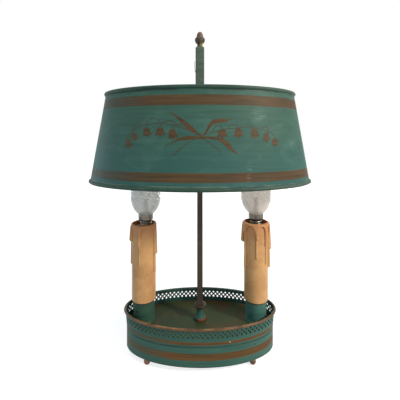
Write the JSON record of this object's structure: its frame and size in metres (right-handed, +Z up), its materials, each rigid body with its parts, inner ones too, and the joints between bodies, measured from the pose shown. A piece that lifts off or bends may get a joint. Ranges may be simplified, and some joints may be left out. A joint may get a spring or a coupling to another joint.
{
  "type": "bouillotte lamp",
  "caption": "Table lamp with candle-style bulb holders on an oval pierced-gallery tray and an oval metal shade that slides on a square stem, held by a leaf spring.",
  "frame": {"origin": "centre of the oval base, on the surface that the four ball feet stand on", "axes": "+X along the oval's long axis to the lamp's right, +Y to the back where the cord enters, +Z up along the stem"},
  "size_m": [0.2536, 0.153, 0.3686],
  "materials": {
    "green_paint": "aged blue-green paint with brush marks and gilt bands",
    "bead_paint": "dark green paint, worn along the edge",
    "tray_paint": "dark olive paint with rust stains",
    "rim_brass": "worn copper-brown gilding",
    "foot_brass": "aged copper-brown brass",
    "bare_steel": "dull plated steel",
    "red_paint": "worn red-brown lacquer",
    "dark_bronze": "dark bronze patina",
    "stem_paint": "dark brown paint, rubbed along the edges",
    "sheath_paint": "grey-green paint, worn",
    "bush_brass": "plain brass",
    "finial_bronze": "aged bronze, rubbed bright at the neck",
    "ring_brown": "dark brown fibre",
    "candle_plastic": "yellowed ivory plastic with moulded wax drips",
    "bakelite": "black phenolic",
    "socket_brass": "plain brass",
    "lead_insulation": "old textile-coloured insulation",
    "cap_metal": "worn nickel-plated cap",
    "cap_insulator": "black glass insulator",
    "bulb_glass": "clear glass with twisted ribs",
    "press_glass": "clear glass press and filament stays"
  },
  "bodies": {
    "base": {"base_skirt": "green_paint", "bottom_plate": "bare_steel", "joining_hoop": "bare_steel", "tray_floor": "tray_paint", "gallery_band": "green_paint", "gallery_rim": "rim_brass", "foot_front_left": "foot_brass", "foot_front_right": "foot_brass", "foot_back_left": "foot_brass", "foot_back_right": "foot_brass", "foot_nuts": "bare_steel", "stem_base_ring": "red_paint", "stem_spool": "green_paint", "stem_collar": "dark_bronze", "stem_rod": "stem_paint", "stem_washer": "bare_steel", "stem_nut": "bare_steel", "terminal_block": "bakelite", "inlet_bushing": "bakelite", "inlet_nut": "bare_steel", "candle_cup_left": "green_paint", "cup_ring_left": "ring_brown", "candle_sleeve_left": "candle_plastic", "socket_tube_left": "bare_steel", "tube_nuts_left": "bare_steel", "socket_body_left": "bakelite", "socket_shell_left": "socket_brass", "socket_contact_left": "socket_brass", "lead_left": "lead_insulation", "candle_cup_right": "green_paint", "cup_ring_right": "ring_brown", "candle_sleeve_right": "candle_plastic", "socket_tube_right": "bare_steel", "tube_nuts_right": "bare_steel", "socket_body_right": "bakelite", "socket_shell_right": "socket_brass", "socket_contact_right": "socket_brass", "lead_right": "lead_insulation"},
    "shade": {"shade_shell": "green_paint", "shade_bottom_bead": "bead_paint", "shade_top_bead": "bead_paint", "shade_spider": "bare_steel", "sheath_tube": "sheath_paint", "sheath_lower_bush": "bush_brass", "sheath_upper_bush": "bush_brass", "friction_spring": "bare_steel", "sheath_cap": "sheath_paint", "finial": "finial_bronze"},
    "bulb_left_feed": {"bulb_tip_left": "cap_metal"},
    "bulb_left": {"bulb_cap_left": "cap_metal", "bulb_insulator_left": "cap_insulator", "bulb_glass_left": "bulb_glass", "bulb_filament_mount_left": "press_glass"},
    "bulb_right_feed": {"bulb_tip_right": "cap_metal"},
    "bulb_right": {"bulb_cap_right": "cap_metal", "bulb_insulator_right": "cap_insulator", "bulb_glass_right": "bulb_glass", "bulb_filament_mount_right": "press_glass"}
  },
  "joints": [
    {"name": "shade_lift", "type": "slide", "parent": "base", "child": "shade", "axis": [0, 0, 1], "range_m": [0, 0.045]},
    {"name": "bulb_left_feed", "type": "slide", "parent": "base", "child": "bulb_left_feed", "axis": [0, 0, 1], "range_m": [0, 0.0082]},
    {"name": "bulb_left_turn", "type": "hinge", "parent": "bulb_left_feed", "child": "bulb_left", "pos_m": [-0.0633, 0, 0.1505], "axis": [0, 0, 1], "range_deg": [0, 1035]},
    {"name": "bulb_right_feed", "type": "slide", "parent": "base", "child": "bulb_right_feed", "axis": [0, 0, 1], "range_m": [0, 0.0082]},
    {"name": "bulb_right_turn", "type": "hinge", "parent": "bulb_right_feed", "child": "bulb_right", "pos_m": [0.0655, 0, 0.1515], "axis": [0, 0, 1], "range_deg": [0, 1035]}
  ],
  "couplings": [
    {"joint": "bulb_left_feed", "follows": "bulb_left_turn", "m_per_rad": 0.00044882},
    {"joint": "bulb_right_feed", "follows": "bulb_right_turn", "m_per_rad": 0.00044882}
  ]
}
